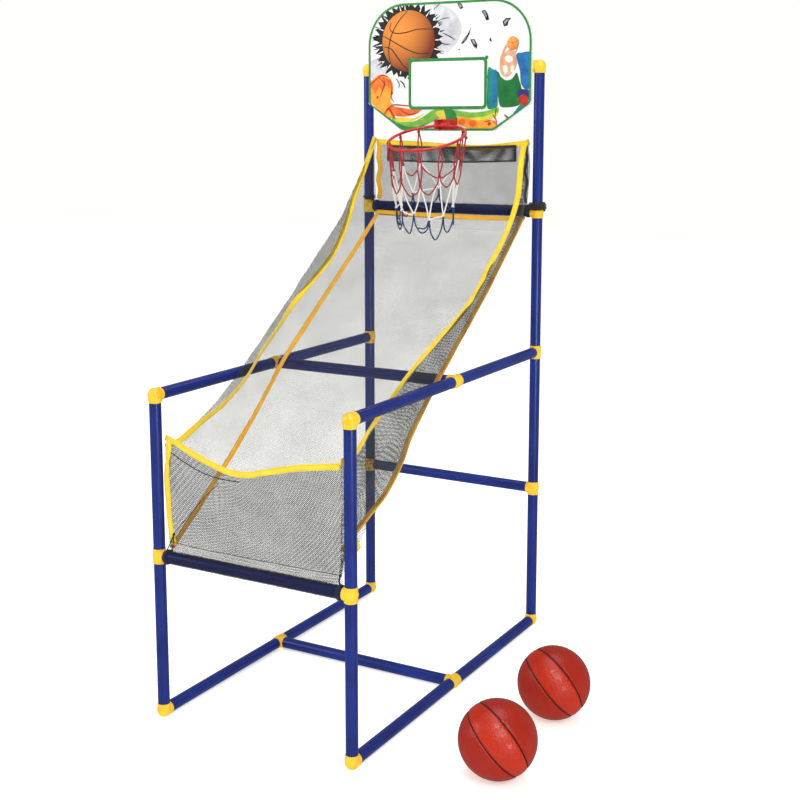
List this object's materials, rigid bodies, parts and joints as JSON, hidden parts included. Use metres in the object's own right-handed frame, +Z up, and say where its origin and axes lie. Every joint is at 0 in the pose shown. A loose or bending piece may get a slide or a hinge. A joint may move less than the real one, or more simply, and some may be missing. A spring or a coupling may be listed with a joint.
{
  "type": "basketball hoop machine",
  "caption": "Free-standing indoor hoop game: blue push-fit tube frame, yellow fittings, sloping net ball return with bound edges, backboard with hinged rim and cord net, and loose balls.",
  "frame": {"origin": "on the floor under the axis of the front left post, at the middle of its foot elbow's flat underside", "axes": "+Z up, +X from the left post to the right post, +Y from the player's side to the backboard"},
  "size_m": [0.8577, 0.9254, 1.598],
  "materials": {
    "tube_plastic": "extruded blue plastic tube, satin gloss with fine draw lines",
    "fitting_plastic": "injection moulded yellow plastic, satin gloss",
    "net_mesh": "fine grey knitted nylon mesh, see-through",
    "sleeve_net": "dark nylon mesh sleeve drawn over a tube",
    "dark_mesh": "dense dark knitted mesh patch with a stitched hem",
    "binding_tape": "yellow woven polyester tape folded over the edge and stitched",
    "elastic_cord": "black braided elastic cord",
    "printed_board": null,
    "clip_plastic": "black moulded plastic",
    "zinc_screw": "zinc plated steel",
    "rim_plastic": "injection moulded red plastic, glossy",
    "net_cord": "braided polyester cord dyed red, white and navy along its length",
    "ball_rubber": "pebbled red-orange rubber with black seams"
  },
  "bodies": {
    "frame": {"arm_cross_tube": "tube_plastic", "arm_tees": "fitting_plastic", "back_binding": "binding_tape", "back_net": "net_mesh", "back_patch": "dark_mesh", "backboard": "printed_board", "base_cross_tube": "tube_plastic", "base_tees": "fitting_plastic", "board_clips": "clip_plastic", "board_nuts": "zinc_screw", "board_screws": "zinc_screw", "corner_ties": "elastic_cord", "foot_elbows": "fitting_plastic", "front_bar_sleeve": "sleeve_net", "front_cross_tube": "tube_plastic", "front_left_lower_post": "tube_plastic", "front_left_upper_post": "tube_plastic", "front_right_lower_post": "tube_plastic", "front_right_upper_post": "tube_plastic", "front_tees": "fitting_plastic", "front_top_elbows": "fitting_plastic", "left_arm_rail_front": "tube_plastic", "left_arm_rail_rear": "tube_plastic", "left_base_rail_front": "tube_plastic", "left_base_rail_rear": "tube_plastic", "left_side_net": "net_mesh", "mast_top_elbows": "fitting_plastic", "pocket_binding": "binding_tape", "pocket_net": "net_mesh", "ramp_bindings": "binding_tape", "ramp_net": "net_mesh", "rear_arm_tees": "fitting_plastic", "rear_bar_sleeve": "sleeve_net", "rear_left_post_1": "tube_plastic", "rear_left_post_2": "tube_plastic", "rear_left_post_3": "tube_plastic", "rear_left_post_4": "tube_plastic", "rear_lower_cross_tube": "tube_plastic", "rear_lower_tees": "fitting_plastic", "rear_right_post_1": "tube_plastic", "rear_right_post_2": "tube_plastic", "rear_right_post_3": "tube_plastic", "rear_right_post_4": "tube_plastic", "rear_upper_cross_tube": "tube_plastic", "rear_upper_tees": "fitting_plastic", "right_arm_rail_front": "tube_plastic", "right_arm_rail_rear": "tube_plastic", "right_base_rail_front": "tube_plastic", "right_base_rail_rear": "tube_plastic", "right_side_net": "net_mesh", "rim_bracket": "rim_plastic", "rim_pin": "zinc_screw", "rim_screws": "zinc_screw", "side_bindings": "binding_tape", "top_cross_tube": "tube_plastic"},
    "rim": {"rim": "rim_plastic", "hoop_net": "net_cord"},
    "ball_1": {"ball_1": "ball_rubber"},
    "ball_2": {"ball_2": "ball_rubber"}
  },
  "joints": [
    {"name": "rim_hinge", "type": "hinge", "parent": "frame", "child": "rim", "pos_m": [0.244, 0.8615, 1.292], "axis": [-1, 0, 0], "range_deg": [0, 18]},
    {"name": "ball_1_roll", "type": "slide", "parent": "frame", "child": "ball_1", "axis": [1, 0, 0], "range_m": [0, 0.25]},
    {"name": "ball_2_roll", "type": "slide", "parent": "frame", "child": "ball_2", "axis": [1, 0, 0], "range_m": [0, 0.25]}
  ]
}
